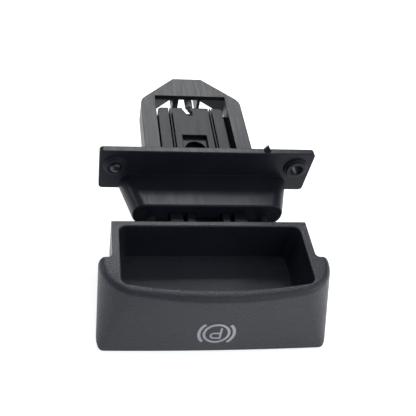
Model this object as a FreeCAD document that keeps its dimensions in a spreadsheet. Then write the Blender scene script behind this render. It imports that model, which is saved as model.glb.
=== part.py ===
import FreeCAD, Part
import math
import os
import Sketcher

# Pull handle for a car's foot operated parking brake: a finger cup with a fascia on a sliding tongue,
# guided in a flanged housing with an open frame behind the panel.
# Millimetres. Origin on the flange's rear seating face, midway between its two fixing points,
# +X to the right, +Y into the panel, +Z up.

doc = FreeCAD.newDocument("BrakeReleaseHandle")
sheet = doc.addObject("Spreadsheet::Sheet", "Sizes")

SIZES = [
    # flange
    ("flange_half_width", 40.4, "half width of the flange"),
    ("flange_top", 7.1, "flange top above the fixing line"),
    ("flange_bottom", 12.4, "flange bottom below the fixing line"),
    ("flange_thick", 2.5, "flange thickness"),
    ("flange_corner", 1.5, "corner radius of the flange"),
    ("hole_edge", 6.0, "fixing points in from the flange's ends"),
    ("hole_radius", 2.45, "fixing hole radius"),
    ("boss_radius", 4.5, "raised boss round each fixing hole"),
    ("boss_rise", 0.8, "boss height in front of the flange"),
    ("boss_step_in", 0.7, "upper step of the boss, smaller by this much"),
    ("boss_step_rise", 0.7, "height of that step"),
    ("boss_round", 0.25, "rounding of the boss's rims"),
    ("collar_radius", 3.6, "collar behind the flange round each hole"),
    ("collar_rise", 1.6, "collar height"),
    ("nib_place", 22.0, "locating nib right of the middle"),
    ("nib_half_width", 1.4, "half width of the nib's foot"),
    ("nib_rise", 2.1, "nib height above the flange"),
    ("nib_thick", 1.4, "nib thickness"),
    ("flange_edge", 0.3, "rounding of the flange's front edges"),
    # neck
    ("neck_length", 15.6, "neck in front of the flange"),
    ("neck_root_half", 32.9, "half width of the neck at the flange"),
    ("neck_front_half", 28.1, "half width of the neck at its front"),
    ("neck_top", 4.75, "neck top below the fixing line"),
    ("neck_bottom", 15.6, "neck bottom below the fixing line"),
    ("neck_round", 4.9, "radius of the neck's long edges"),
    ("neck_edge", 0.6, "rounding of the neck's front edge"),
    ("neck_front_wall", 2.5, "thickness of the neck's front wall"),
    ("neck_skin", 1.9, "wall left round the neck's side cores"),
    ("root_sink", 0.5, "neck's foot sunk into the flange"),
    # frame behind the flange
    ("frame_half_width", 21.8, "half width of the frame"),
    ("frame_top", 5.8, "frame top below the fixing line"),
    ("frame_bottom", 15.6, "frame bottom below the fixing line"),
    ("frame_length", 58.9, "frame behind the seating face"),
    ("frame_shoulder", 43.9, "where the frame starts to narrow"),
    ("frame_end_half", 6.4, "half width of the frame's far end"),
    ("frame_plate", 2.1, "top plate thickness"),
    ("frame_wall", 1.7, "side wall thickness"),
    ("shoulder_round", 6.5, "radius of the shoulders"),
    ("end_round", 0.8, "radius of the far corners"),
    ("spring_bay", 3.6, "space for a spring between side wall and guide rail"),
    ("window_start", 3.0, "window's near edge"),
    ("window_end", 46.7, "window's far edge"),
    ("rail_thick", 1.0, "guide rail under each window edge"),
    ("lip_reach", 5.2, "lower guide lip's reach from the side wall"),
    ("lip_end", 40.0, "far end of the lower guide lips"),
    ("gusset_length", 8.0, "gusset along the frame"),
    ("gusset_height", 7.0, "gusset up the flange"),
    ("gusset_thick", 1.5, "gusset thickness"),
    ("seat_wall_left", 4.6, "left cable seat wall's inner face from the middle"),
    ("seat_wall_right", 3.8, "right cable seat wall's inner face from the middle"),
    ("seat_wall_left_thick", 2.4, "left cable seat wall's thickness"),
    ("seat_wall_right_thick", 1.3, "right cable seat wall's thickness"),
    # tongue of the slide
    ("tongue_side_gap", 1.3, "gap between tongue and window edge"),
    ("tongue_top", 9.1, "tongue top below the fixing line"),
    ("tongue_height", 4.8, "tongue height"),
    ("tongue_length", 64.5, "tongue length from the grip"),
    ("tongue_web", 1.5, "bottom web thickness"),
    ("web_setback", 0.3, "web shorter than the bars at the far end"),
    ("bar_width", 4.6, "width of the outer bars"),
    ("rib_gap", 0.5, "groove on each side of the thin ribs"),
    ("bar_end_round", 1.8, "rounded far end of the outer bars"),
    ("rib_space", 1.6, "room for a thin rib between outer bar and centre block"),
    ("block_wall", 2.8, "centre block's wall beside the channel"),
    ("channel_end", 47.0, "far end of the channel from the grip"),
    ("channel_step", 34.5, "deep part of the channel ends here"),
    ("recess_depth", 1.6, "depth of the channel's far part"),
    ("nipple_place", 40.4, "cable nipple pocket from the grip"),
    ("nipple_edge", 1.0, "floor left between nipple pocket and channel wall"),
    ("nipple_depth", 2.2, "pocket depth below the recess"),
    ("tunnel_radius", 0.8, "radius of the cable tunnel"),
    ("tunnel_drop", 2.6, "cable tunnel below the tongue's top"),
    ("notch_depth", 5.0, "depth of the cable notch"),
    ("notch_mouth_left", 3.5, "notch mouth's left end from the middle"),
    ("notch_mouth_right", 0.8, "notch mouth's right end, also left of the middle"),
    ("notch_foot_left", 1.3, "notch foot's left end from the middle"),
    ("notch_foot_right", 0.9, "notch foot's right end, right of the middle"),
    ("notch_straight", 2.4, "straight part of the notch's right side"),
    ("notch_lead", 0.6, "straight part of the notch's left side at its mouth"),
    ("wing_reach", 2.0, "guide wing beside the tongue"),
    ("wing_end", 63.0, "far end of the guide wings from the grip"),
    ("lug_thick", 3.0, "spring lug thickness"),
    ("lug_height", 4.7, "spring lug height"),
    ("travel", 22.0, "pull of the handle"),
    ("slide_gap", 0.1, "guide clearance"),
    ("slot_gap", 0.25, "clearance of the tongue in the neck's front wall"),
    # return springs
    ("spring_level", 11.2, "springs below the fixing line"),
    ("spring_length", 32.0, "fitted length of each spring"),
    ("spring_mean_radius", 1.3, "mean coil radius"),
    ("spring_wire", 0.5, "wire diameter"),
    ("spring_turns", 15.0, "number of turns"),
    ("spigot_radius", 0.85, "spigot inside each spring end"),
    ("spigot_length", 2.2, "spigot length"),
    # bump stops
    ("stop_place", 21.1, "bump stops from the middle"),
    ("stop_level", 11.9, "bump stops below the fixing line"),
    ("stop_radius", 1.75, "bump stop radius"),
    ("stop_height", 3.8, "gap between neck and grip, filled by the stops"),
    ("stop_rest_gap", 0.1, "stop's clearance from the grip at rest"),
    ("stop_stem_radius", 1.1, "stem pressed into the neck"),
    ("stop_stem_length", 2.2, "stem length"),
    ("stop_round", 0.8, "rounding of the stop's end"),
    # grip: finger cup and fascia
    ("ear_width", 5.4, "fascia wider than the cup by this much on each side"),
    ("rim_level", 8.8, "cup rim below the fixing line"),
    ("rim_round", 0.5, "rounding of the rim's edges"),
    ("cup_back_wall", 2.4, "thickness of the cup's back wall"),
    ("cup_side_wall", 2.8, "thickness of the cup's side walls"),
    ("cup_front_wall", 1.7, "thickness of the cup's front wall"),
    ("ear_rear", 16.0, "rear edge of the ears from the cup's back"),
    ("ear_lean", 20.1, "ear's rear edge leans forward by this much"),
    ("ear_inner_round", 1.6, "hollow corner between the cup's side and the ear"),
    ("tenon_depth", 1.4, "tenons of the slide let into the cup's back wall"),
    ("cup_inner_length", 27.4, "finger space front to back at the middle"),
    ("cup_inner_depth", 17.2, "finger space depth"),
    ("cup_floor", 2.2, "cup floor thickness"),
    ("cup_bow", 180.0, "radius of the cup's bowed front"),
    ("cup_front_corner", 2.8, "front corner radius of the finger space"),
    ("cup_back_corner", 2.6, "back corner radius of the finger space"),
    ("cup_draft", 1.2, "finger space narrower at its floor, each side"),
    ("fascia_half_width", 41.4, "half width of the fascia"),
    ("fascia_top_inset", 0.6, "fascia narrower at its top by this much on each side"),
    ("fascia_height", 24.7, "fascia height"),
    ("fascia_rear_top", 6.0, "fascia's upper rear edge from the cup's back"),
    ("fascia_front_top", 33.4, "fascia's upper front at the middle from the cup's back"),
    ("fascia_rear_bottom", 30.0, "fascia's lower rear edge from the cup's back"),
    ("fascia_front_bottom", 38.9, "fascia's lower front from the cup's back"),
    ("fascia_bow_top", 138.0, "bow radius of the upper front edge"),
    ("fascia_bow_bottom", 1500.0, "bow radius of the lower front edge"),
    ("fascia_corner_top", 15.0, "plan corner radius at the top"),
    ("fascia_corner_bottom", 2.0, "plan corner radius at the bottom"),
    ("fascia_wall", 2.4, "fascia wall thickness"),
    ("fascia_round", 2.6, "rolled upper edge of the fascia"),
    ("fascia_low_corner", 3.0, "rounded lower corners in front view"),
    ("stiffener_place", 12.0, "stiffening ribs left and right of the middle"),
    ("stiffener_thick", 1.6, "stiffening rib thickness"),
    ("tool_clearance", 1.0, "cuts run past the moulding by this much"),
    # locating pin in the left ear
    ("pin_radius", 2.0, "pin radius behind the flange"),
    ("pin_reach", 5.6, "pin behind the flange"),
    ("pin_dome_radius", 2.0, "domed front end radius"),
    ("pin_dome_side", 0.3, "straight side of the dome in front of the boss"),
    ("pin_dome_rise", 0.9, "dome in front of the boss"),
    ("pin_flat_radius", 0.6, "flat on top of the dome"),
    ("pin_lead", 1.2, "length of the cone at the pin's tip"),
    ("pin_tip_radius", 1.3, "radius of the pin's tip"),
    ("pin_sink", 0.5, "dome's foot below the boss's face"),
    # end sleeve for the cable sheath
    ("sleeve_place", 0.2, "sleeve right of the middle"),
    ("sleeve_level", 11.0, "sleeve below the fixing line"),
    ("sleeve_neck_radius", 2.5, "sleeve in the frame's end wall"),
    ("sleeve_flange_radius", 3.6, "sleeve flange radius"),
    ("sleeve_flange_thick", 1.2, "sleeve flange thickness"),
    ("sleeve_barrel_radius", 1.7, "barrel inside the frame"),
    ("sleeve_tip_gap", 2.2, "barrel's end to the tongue"),
    ("sleeve_tip_round", 0.7, "rounding of the barrel's end"),
    ("sleeve_bore", 0.8, "bore for the cable"),
]
for row, (alias, value, note) in enumerate(SIZES, start=1):
    sheet.set("A%d" % row, alias)
    sheet.set("B%d" % row, str(value))
    sheet.set("C%d" % row, note)
    sheet.setAlias("B%d" % row, alias)
doc.recompute()

GRIP_BACK = "-(Sizes.flange_thick + Sizes.neck_length + Sizes.stop_height)"
NECK_FRONT = "(Sizes.flange_thick + Sizes.neck_length)"
TONGUE_FLOOR = "(Sizes.tongue_top + Sizes.tongue_height)"
WEB_TOP = "(%s - Sizes.tongue_web)" % TONGUE_FLOOR
FRAME_UNDERSIDE = "(Sizes.frame_top + Sizes.frame_plate)"
FRAME_INNER = "(Sizes.frame_half_width - Sizes.frame_wall)"
WINDOW_HALF = "(%s - Sizes.spring_bay - Sizes.rail_thick)" % FRAME_INNER
TONGUE_HALF = "(%s - Sizes.tongue_side_gap)" % WINDOW_HALF
BAR_INNER = "(%s - Sizes.bar_width)" % TONGUE_HALF
BLOCK_HALF = "(%s - Sizes.rib_space)" % BAR_INNER
CHANNEL_HALF = "(%s - Sizes.block_wall)" % BLOCK_HALF
HOLE_PLACE = "(Sizes.flange_half_width - Sizes.hole_edge)"
CUP_HALF = "(Sizes.fascia_half_width - Sizes.ear_width)"
SPRING_PLACE = "(%s - Sizes.spring_bay/2)" % FRAME_INNER
TUNNEL_PLACE = "((Sizes.notch_foot_right - Sizes.notch_foot_left)/2)"
BOSS_FRONT = "(Sizes.flange_thick + Sizes.boss_rise + Sizes.boss_step_rise)"
SPRING_SEAT = "(%s - Sizes.neck_front_wall)" % NECK_FRONT


def number(expression):
    return float(sheet.evalExpression(expression))


def size(alias):
    return number("Sizes." + alias)


def new_body(label, place_y=None, place_z=None):
    body = doc.addObject("PartDesign::Body", label)
    body.Label = label
    if place_y:
        body.setExpression("Placement.Base.y", place_y)
    if place_z:
        body.setExpression("Placement.Base.z", place_z)
    return body


def origin_plane(body, role):
    for feature in body.Origin.OriginFeatures:
        if feature.Role == role:
            return feature
    raise ValueError(role)


def new_sketch(body, name, role, offset="0"):
    # XY_Plane looks down on the part, XZ_Plane from the front with its depth towards -Y,
    # YZ_Plane from the right.
    sketch = body.newObject("Sketcher::SketchObject", name)
    sketch.AttachmentSupport = [(origin_plane(body, role), "")]
    sketch.MapMode = "FlatFace"
    sketch.setExpression("AttachmentOffset.Base.z", offset)
    return sketch


def pin_point(sketch, geometry, point, across, up):
    for kind, expression in (("DistanceX", across), ("DistanceY", up)):
        value = number(expression)
        index = sketch.addConstraint(Sketcher.Constraint(kind, -1, 1, geometry, point, value))
        sketch.setExpression("Constraints[%d]" % index, expression)


def add_polygon(sketch, corners):
    points = [FreeCAD.Vector(number(a), number(b), 0) for a, b in corners]
    count = len(points)
    first = sketch.GeometryCount
    for i in range(count):
        sketch.addGeometry(Part.LineSegment(points[i], points[(i + 1) % count]), False)
    for i in range(count):
        following = first + (i + 1) % count
        sketch.addConstraint(Sketcher.Constraint("Coincident", first + i, 2, following, 1))
    for i, (a, b) in enumerate(corners):
        pin_point(sketch, first + i, 1, a, b)


def add_rectangle(sketch, left, right, low, high):
    add_polygon(sketch, [(left, low), (right, low), (right, high), (left, high)])


def add_circle(sketch, across, up, radius):
    centre = FreeCAD.Vector(number(across), number(up), 0)
    circle = Part.Circle(centre, FreeCAD.Vector(0, 0, 1), number(radius))
    index = sketch.addGeometry(circle, False)
    pin_point(sketch, index, 3, across, up)
    constraint = sketch.addConstraint(Sketcher.Constraint("Radius", index, number(radius)))
    sketch.setExpression("Constraints[%d]" % constraint, radius)


def add_round_rectangle(sketch, half_width, low, high, corner):
    w, z0, z1, c = number(half_width), number(low), number(high), number(corner)
    point, up = FreeCAD.Vector, FreeCAD.Vector(0, 0, 1)
    turn = math.pi / 2
    sides = [(point(c - w, z0, 0), point(w - c, z0, 0)), (point(w, z0 + c, 0), point(w, z1 - c, 0)),
             (point(w - c, z1, 0), point(c - w, z1, 0)), (point(-w, z1 - c, 0), point(-w, z0 + c, 0))]
    centres = [(w - c, z0 + c), (w - c, z1 - c), (c - w, z1 - c), (c - w, z0 + c)]
    lines, arcs = [], []
    for i, (start, end) in enumerate(sides):
        lines.append(sketch.addGeometry(Part.LineSegment(start, end), False))
        circle = Part.Circle(point(centres[i][0], centres[i][1], 0), up, c)
        arc = Part.ArcOfCircle(circle, turn * (i - 1), turn * i)
        arcs.append(sketch.addGeometry(arc, False))
    for i in range(4):
        sketch.addConstraint(Sketcher.Constraint("Tangent", lines[i], 2, arcs[i], 1))
        sketch.addConstraint(Sketcher.Constraint("Tangent", arcs[i], 2, lines[(i + 1) % 4], 1))
        index = sketch.addConstraint(Sketcher.Constraint("Radius", arcs[i], c))
        sketch.setExpression("Constraints[%d]" % index, corner)
    for line, kind, expression in ((lines[0], "DistanceY", low), (lines[2], "DistanceY", high),
                                   (lines[1], "DistanceX", half_width),
                                   (lines[3], "DistanceX", "-(%s)" % half_width)):
        level = Sketcher.Constraint(kind, -1, 1, line, 1, number(expression))
        index = sketch.addConstraint(level)
        sketch.setExpression("Constraints[%d]" % index, expression)
        flat = "Horizontal" if kind == "DistanceY" else "Vertical"
        sketch.addConstraint(Sketcher.Constraint(flat, line))


def add_bowed_outline(sketch, half_width, rear, front, bow, corner, rear_corner=None):
    # Straight rear edge and sides, round corners and a front edge bowed outwards towards -Y.
    w, r, c = number(half_width), number(bow), number(corner)
    y_rear, y_front = number(rear), number(front)
    middle = y_front + r
    corner_y = middle - ((r - c) ** 2 - (w - c) ** 2) ** 0.5
    touch = r / (r - c)
    tip_x = (w - c) * touch
    tip_y = middle + (corner_y - middle) * touch
    up = FreeCAD.Vector(0, 0, 1)
    angle = math.atan2(tip_y - corner_y, tip_x - (w - c))
    lines = {}
    k = number(rear_corner) if rear_corner else 0.0
    point = FreeCAD.Vector
    items = []
    items.append(("rear", Part.LineSegment(point(-w + k, y_rear, 0), point(w - k, y_rear, 0))))
    items.append(("right", Part.LineSegment(point(w, y_rear - k, 0), point(w, corner_y, 0))))
    items.append(("left", Part.LineSegment(point(-w, corner_y, 0), point(-w, y_rear - k, 0))))
    near = Part.Circle(point(w - c, corner_y, 0), up, c)
    items.append(("corner_right", Part.ArcOfCircle(near, angle, 0.0)))
    far = Part.Circle(point(-w + c, corner_y, 0), up, c)
    items.append(("corner_left", Part.ArcOfCircle(far, math.pi, math.pi - angle)))
    wide = Part.Circle(point(0, middle, 0), up, r)
    start = math.atan2(tip_y - middle, -tip_x)
    end = math.atan2(tip_y - middle, tip_x)
    items.append(("front", Part.ArcOfCircle(wide, start, end)))
    if k:
        circle = Part.Circle(point(w - k, y_rear - k, 0), up, k)
        items.append(("rear_right", Part.ArcOfCircle(circle, 0.0, math.pi / 2)))
        circle = Part.Circle(point(-w + k, y_rear - k, 0), up, k)
        items.append(("rear_left", Part.ArcOfCircle(circle, math.pi / 2, math.pi)))
    for name, curve in items:
        lines[name] = sketch.addGeometry(curve, False)

    def tangent(a, a_end, b, b_end):
        sketch.addConstraint(Sketcher.Constraint("Tangent", lines[a], a_end, lines[b], b_end))

    def fix(kind, geometry, point_index, expression):
        constraint = Sketcher.Constraint(kind, -1, 1, geometry, point_index, number(expression))
        index = sketch.addConstraint(constraint)
        sketch.setExpression("Constraints[%d]" % index, expression)

    def radius(name, expression):
        index = sketch.addConstraint(Sketcher.Constraint("Radius", lines[name], number(expression)))
        sketch.setExpression("Constraints[%d]" % index, expression)

    tangent("right", 2, "corner_right", 2)
    tangent("corner_right", 1, "front", 2)
    tangent("front", 1, "corner_left", 2)
    tangent("corner_left", 1, "left", 1)
    sketch.addConstraint(Sketcher.Constraint("PointOnObject", lines["front"], 3, -2))
    fix("DistanceY", lines["front"], 3, "%s + %s" % (front, bow))
    radius("front", bow)
    radius("corner_right", corner)
    radius("corner_left", corner)
    fix("DistanceX", lines["right"], 1, half_width)
    fix("DistanceX", lines["left"], 2, "-(%s)" % half_width)
    sketch.addConstraint(Sketcher.Constraint("Vertical", lines["right"]))
    sketch.addConstraint(Sketcher.Constraint("Vertical", lines["left"]))
    if k:
        tangent("rear", 2, "rear_right", 2)
        tangent("rear_right", 1, "right", 1)
        tangent("left", 2, "rear_left", 2)
        tangent("rear_left", 1, "rear", 1)
        radius("rear_right", rear_corner)
        radius("rear_left", rear_corner)
        fix("DistanceY", lines["rear"], 1, rear)
        sketch.addConstraint(Sketcher.Constraint("Horizontal", lines["rear"]))
    else:
        sketch.addConstraint(Sketcher.Constraint("Coincident", lines["rear"], 2, lines["right"], 1))
        sketch.addConstraint(Sketcher.Constraint("Coincident", lines["left"], 2, lines["rear"], 1))
        fix("DistanceY", lines["rear"], 1, rear)
        sketch.addConstraint(Sketcher.Constraint("Horizontal", lines["rear"]))


def add_corner(sketch, side, reach, low, radius, beyond):
    # Region between a round corner's arc and its two straight sides, drawn past them by beyond. The
    # corner lies low and to the left (side -1) or right (side 1) of the arc's centre.
    sign = "-" if side < 0 else ""
    outer, inner = "%s(%s + %s)" % (sign, reach, beyond), "%s(%s - %s)" % (sign, reach, radius)
    edge = "%s(%s)" % (sign, reach)
    r = number(radius)
    x, z = number(inner), number(low) + r
    up = FreeCAD.Vector(0, 0, 1)
    first, last = (-math.pi / 2, 0.0) if side > 0 else (math.pi, 3 * math.pi / 2)
    circle = Part.Circle(FreeCAD.Vector(x, z, 0), up, r)
    arc = sketch.addGeometry(Part.ArcOfCircle(circle, first, last), False)
    foot, shoulder = (1, 2) if side > 0 else (2, 1)
    corners = [(edge, "%s + %s" % (low, radius)), (outer, "%s + %s" % (low, radius)),
               (outer, "%s - %s" % (low, beyond)), (inner, "%s - %s" % (low, beyond)), (inner, low)]
    points = [FreeCAD.Vector(number(a), number(b), 0) for a, b in corners]
    lines = []
    for start, end in zip(points, points[1:]):
        lines.append(sketch.addGeometry(Part.LineSegment(start, end), False))
    for line, following in zip(lines, lines[1:]):
        sketch.addConstraint(Sketcher.Constraint("Coincident", line, 2, following, 1))
    sketch.addConstraint(Sketcher.Constraint("Coincident", arc, shoulder, lines[0], 1))
    sketch.addConstraint(Sketcher.Constraint("Coincident", lines[-1], 2, arc, foot))
    for line, (across, level) in zip(lines, corners):
        pin_point(sketch, line, 1, across, level)
    pin_point(sketch, lines[-1], 2, *corners[-1])
    index = sketch.addConstraint(Sketcher.Constraint("Radius", arc, r))
    sketch.setExpression("Constraints[%d]" % index, radius)


def extrude(body, kind, name, sketch, length, towards_back=False):
    # A pad grows along the sketch's normal and a pocket cuts against it; towards_back flips either.
    before = body.Shape.Volume if body.Tip else 0.0
    feature = body.newObject("PartDesign::" + kind, name)
    feature.Profile = sketch
    feature.setExpression("Length", length)
    feature.Reversed = towards_back
    doc.recompute()
    change = body.Shape.Volume - before
    if (kind == "Pad") != (change > 0.01) or abs(change) < 0.01:
        raise ValueError("%s changed the volume by %.3f" % (name, change))
    return feature


def pad(body, name, sketch, length, flip=False):
    return extrude(body, "Pad", name, sketch, length, flip)


def pocket(body, name, sketch, length, flip=False):
    return extrude(body, "Pocket", name, sketch, length, flip)


def loft(body, kind, name, first, second):
    feature = body.newObject("PartDesign::" + kind, name)
    feature.Profile = first
    feature.Sections = [second]
    feature.Ruled = True
    doc.recompute()
    return feature


def edges_where(feature, test):
    found = []
    for index, edge in enumerate(feature.Shape.Edges, start=1):
        if edge.Length > 0.01 and test(edge):
            found.append("Edge%d" % index)
    if not found:
        raise ValueError("no edge for a rounding on " + feature.Label)
    return found


def fillet(body, name, test, radius):
    base = body.Tip
    feature = body.newObject("PartDesign::Fillet", name)
    feature.Base = (base, edges_where(base, test))
    feature.setExpression("Radius", radius)
    doc.recompute()
    if "Invalid" in feature.State:
        raise ValueError("%s could not be rounded" % name)
    return feature


def near(a, b, slack=0.02):
    return abs(a - b) < slack


def extent(edge):
    # box round points taken along the edge, tighter than the one of its control points
    box = FreeCAD.BoundBox()
    for point in edge.discretize(7):
        box.add(point)
    return box


def lies_at(edge, axis, level):
    box = extent(edge)
    low, high = {"y": (box.YMin, box.YMax), "z": (box.ZMin, box.ZMax)}[axis]
    return near(low, level) and near(high, level)


def runs_along(edge, axis):
    box = extent(edge)
    spans = {"x": box.XLength, "y": box.YLength, "z": box.ZLength}
    others = [spans[k] for k in spans if k != axis]
    return spans[axis] > 0.05 and max(others) < 0.02


# Housing: flange, neck and frame in one moulding
def make_housing():
    body = new_body("housing")
    half, end = "Sizes.frame_half_width", "Sizes.frame_end_half"
    slope_x = "(%s - %s)" % (half, end)
    slope_y = "(Sizes.frame_length - Sizes.frame_shoulder)"
    slope = "hypot(%s; %s)" % (slope_x, slope_y)
    wall, clear = "Sizes.frame_wall", "Sizes.tool_clearance"

    sketch = new_sketch(body, "frame_outline", "XY_Plane", "-Sizes.frame_top")
    add_polygon(sketch, [
        ("-" + half, "0"), (half, "0"), (half, "Sizes.frame_shoulder"),
        (end, "Sizes.frame_length"), ("-" + end, "Sizes.frame_length"),
        ("-" + half, "Sizes.frame_shoulder")])
    pad(body, "frame_block", sketch, "Sizes.frame_bottom - Sizes.frame_top", True)
    shoulder = size("frame_shoulder")
    fillet(body, "frame_shoulders",
           lambda e: runs_along(e, "z") and near(extent(e).YMin, shoulder), "Sizes.shoulder_round")
    far = size("frame_length")
    fillet(body, "frame_end_corners",
           lambda e: runs_along(e, "z") and near(extent(e).YMin, far), "Sizes.end_round")

    inner_shoulder = "Sizes.frame_shoulder - {w}*{a}/{l} + {b}/{a}*{w}*(1 - {b}/{l})".format(
        w=wall, a=slope_x, b=slope_y, l=slope)
    end_share = "(({b} - {w} + {w}*{a}/{l})/{b})".format(w=wall, a=slope_x, b=slope_y, l=slope)
    inner_end = "({h} - {w}*{b}/{l} - {a}*{t})".format(
        h=half, w=wall, a=slope_x, b=slope_y, l=slope, t=end_share)
    sketch = new_sketch(body, "frame_hollow_outline", "XY_Plane", "-" + FRAME_UNDERSIDE)
    far_inner = "Sizes.frame_length - Sizes.frame_wall"
    add_polygon(sketch, [
        ("-" + FRAME_INNER, "-" + clear), (FRAME_INNER, "-" + clear), (FRAME_INNER, inner_shoulder),
        (inner_end, far_inner), ("-" + inner_end, far_inner), ("-" + FRAME_INNER, inner_shoulder)])
    pocket(body, "frame_hollow", sketch, "Sizes.frame_bottom")

    sketch = new_sketch(body, "window_outline", "XY_Plane", "-Sizes.frame_top")
    add_rectangle(sketch, "-" + WINDOW_HALF, WINDOW_HALF,
                  "Sizes.window_start", "Sizes.window_end")
    pocket(body, "window", sketch, "Sizes.frame_plate")

    rail_drop = "%s - Sizes.slide_gap - %s" % (WEB_TOP, FRAME_UNDERSIDE)
    sketch = new_sketch(body, "guide_rail_outlines", "XY_Plane", "-" + FRAME_UNDERSIDE)
    outer = "(%s + Sizes.rail_thick)" % WINDOW_HALF
    add_rectangle(sketch, WINDOW_HALF, outer, "0", "Sizes.frame_shoulder")
    add_rectangle(sketch, "-" + outer, "-" + WINDOW_HALF, "0", "Sizes.frame_shoulder")
    pad(body, "guide_rails", sketch, rail_drop, True)

    lip_inner = "(%s - Sizes.lip_reach)" % FRAME_INNER
    sketch = new_sketch(body, "guide_lip_outlines", "XY_Plane",
                        "-(%s + Sizes.slide_gap)" % TONGUE_FLOOR)
    add_rectangle(sketch, lip_inner, FRAME_INNER, "0", "Sizes.lip_end")
    add_rectangle(sketch, "-" + FRAME_INNER, "-" + lip_inner, "0", "Sizes.lip_end")
    pad(body, "guide_lips", sketch,
        "Sizes.frame_bottom - %s - Sizes.slide_gap" % TONGUE_FLOOR, True)

    sketch = new_sketch(body, "cable_seat_outlines", "XY_Plane", "-" + FRAME_UNDERSIDE)
    for sign, wall_side in (("", "right"), ("-", "left")):
        inner = "%sSizes.seat_wall_%s" % (sign, wall_side)
        outer = "%s(Sizes.seat_wall_%s + Sizes.seat_wall_%s_thick)" % (sign, wall_side, wall_side)
        left, right = (inner, outer) if sign == "" else (outer, inner)
        add_rectangle(sketch, left, right, "Sizes.window_end", far_inner)
    pad(body, "cable_seat_walls", sketch, "Sizes.frame_bottom - " + FRAME_UNDERSIDE, True)

    sketch = new_sketch(body, "sleeve_hole_outline", "XZ_Plane", "-Sizes.frame_length")
    add_circle(sketch, "Sizes.sleeve_place", "-Sizes.sleeve_level", "Sizes.sleeve_neck_radius")
    pocket(body, "sleeve_hole", sketch, "Sizes.frame_wall", True)

    sketch = new_sketch(body, "flange_outline", "XZ_Plane")
    width = "Sizes.flange_half_width"
    add_rectangle(sketch, "-" + width, width, "-Sizes.flange_bottom", "Sizes.flange_top")
    pad(body, "flange", sketch, "Sizes.flange_thick")
    reach = size("flange_half_width")
    fillet(body, "flange_corners",
           lambda e: runs_along(e, "y") and near(abs(extent(e).XMin), reach), "Sizes.flange_corner")
    plate_front = -size("flange_thick")
    fillet(body, "flange_front_edges", lambda e: lies_at(e, "y", plate_front), "Sizes.flange_edge")

    root = new_sketch(body, "neck_root", "XZ_Plane", "Sizes.flange_thick - Sizes.root_sink")
    low, high, corner = "-Sizes.neck_bottom", "-Sizes.neck_top", "Sizes.neck_round"
    add_round_rectangle(root, "Sizes.neck_root_half", low, high, corner)
    mouth = new_sketch(body, "neck_mouth", "XZ_Plane", NECK_FRONT)
    add_round_rectangle(mouth, "Sizes.neck_front_half", low, high, corner)
    loft(body, "AdditiveLoft", "neck", root, mouth)
    neck_front = -number(NECK_FRONT)
    fillet(body, "neck_front_edge", lambda e: lies_at(e, "y", neck_front), "Sizes.neck_edge")

    sketch = new_sketch(body, "nib_outline", "XZ_Plane")
    add_polygon(sketch, [
        ("Sizes.nib_place - Sizes.nib_half_width", "Sizes.flange_top"),
        ("Sizes.nib_place + Sizes.nib_half_width", "Sizes.flange_top"),
        ("Sizes.nib_place", "Sizes.flange_top + Sizes.nib_rise")])
    pad(body, "nib", sketch, "Sizes.nib_thick")

    sketch = new_sketch(body, "boss_outlines", "XZ_Plane", "Sizes.flange_thick")
    for sign in ("", "-"):
        add_circle(sketch, sign + HOLE_PLACE, "0", "Sizes.boss_radius")
    pad(body, "bosses", sketch, "Sizes.boss_rise")
    sketch = new_sketch(body, "boss_step_outlines", "XZ_Plane", "Sizes.flange_thick + Sizes.boss_rise")
    for sign in ("", "-"):
        add_circle(sketch, sign + HOLE_PLACE, "0",
                   "Sizes.boss_radius - Sizes.boss_step_in")
    pad(body, "boss_steps", sketch, "Sizes.boss_step_rise")
    front = -number(BOSS_FRONT)
    step = front + size("boss_step_rise")
    fillet(body, "boss_rims", lambda e: lies_at(e, "y", front) or lies_at(e, "y", step)
           and extent(e).XLength > 1.9 * size("boss_radius"), "Sizes.boss_round")
    sketch = new_sketch(body, "collar_outlines", "XZ_Plane")
    for sign in ("", "-"):
        add_circle(sketch, sign + HOLE_PLACE, "0", "Sizes.collar_radius")
    pad(body, "collars", sketch, "Sizes.collar_rise", True)

    # tongue passage from the rear, closed in front by the wall with the shaped slot
    sketch = new_sketch(body, "passage_outline", "XZ_Plane")
    add_rectangle(sketch, "-" + FRAME_INNER, FRAME_INNER,
                  "-(%s + Sizes.slide_gap)" % TONGUE_FLOOR, "-" + FRAME_UNDERSIDE)
    pocket(body, "passage", sketch, SPRING_SEAT, True)
    core_low = "-(Sizes.neck_bottom - Sizes.neck_skin)"
    core_high = "-(Sizes.neck_top + Sizes.neck_skin)"
    core_in = "(%s + Sizes.neck_skin)" % FRAME_INNER
    core_out = "(Sizes.neck_front_half - Sizes.neck_skin)"
    sketch = new_sketch(body, "side_core_outlines", "XZ_Plane")
    add_rectangle(sketch, core_in, core_out, core_low, core_high)
    add_rectangle(sketch, "-" + core_out, "-" + core_in, core_low, core_high)
    pocket(body, "side_cores", sketch, SPRING_SEAT, True)

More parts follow.
